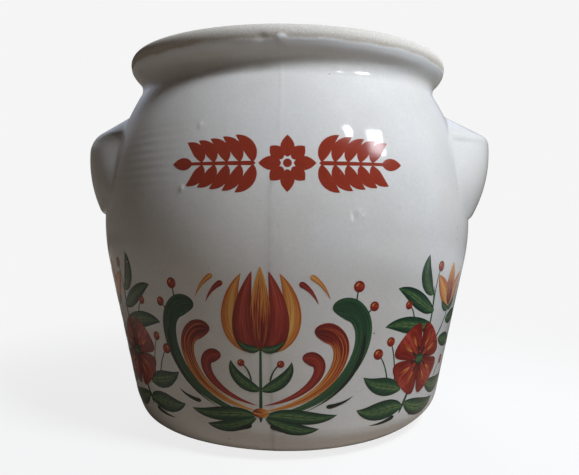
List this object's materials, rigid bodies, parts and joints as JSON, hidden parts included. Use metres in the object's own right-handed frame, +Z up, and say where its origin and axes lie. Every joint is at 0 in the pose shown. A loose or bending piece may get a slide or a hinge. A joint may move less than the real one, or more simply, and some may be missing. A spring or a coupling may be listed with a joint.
{
  "type": "food canister",
  "caption": "Open glazed stoneware storage jar with a flared wall, round shoulder, rolled lip and a solid lug on each side, for dry food such as flour.",
  "frame": {"origin": "centre of the foot ring, on the surface that the jar stands on", "axes": "+X through the right lug, -Y the decorated front, +Z up along the jar's axis"},
  "size_m": [0.2232, 0.1988, 0.1908],
  "materials": {
    "glazed_stoneware": "gloss glaze over off-white clay, bare on the lip"
  },
  "bodies": {
    "root": {"jar_body": "glazed_stoneware", "left_lug": "glazed_stoneware", "right_lug": "glazed_stoneware"}
  },
  "joints": []
}
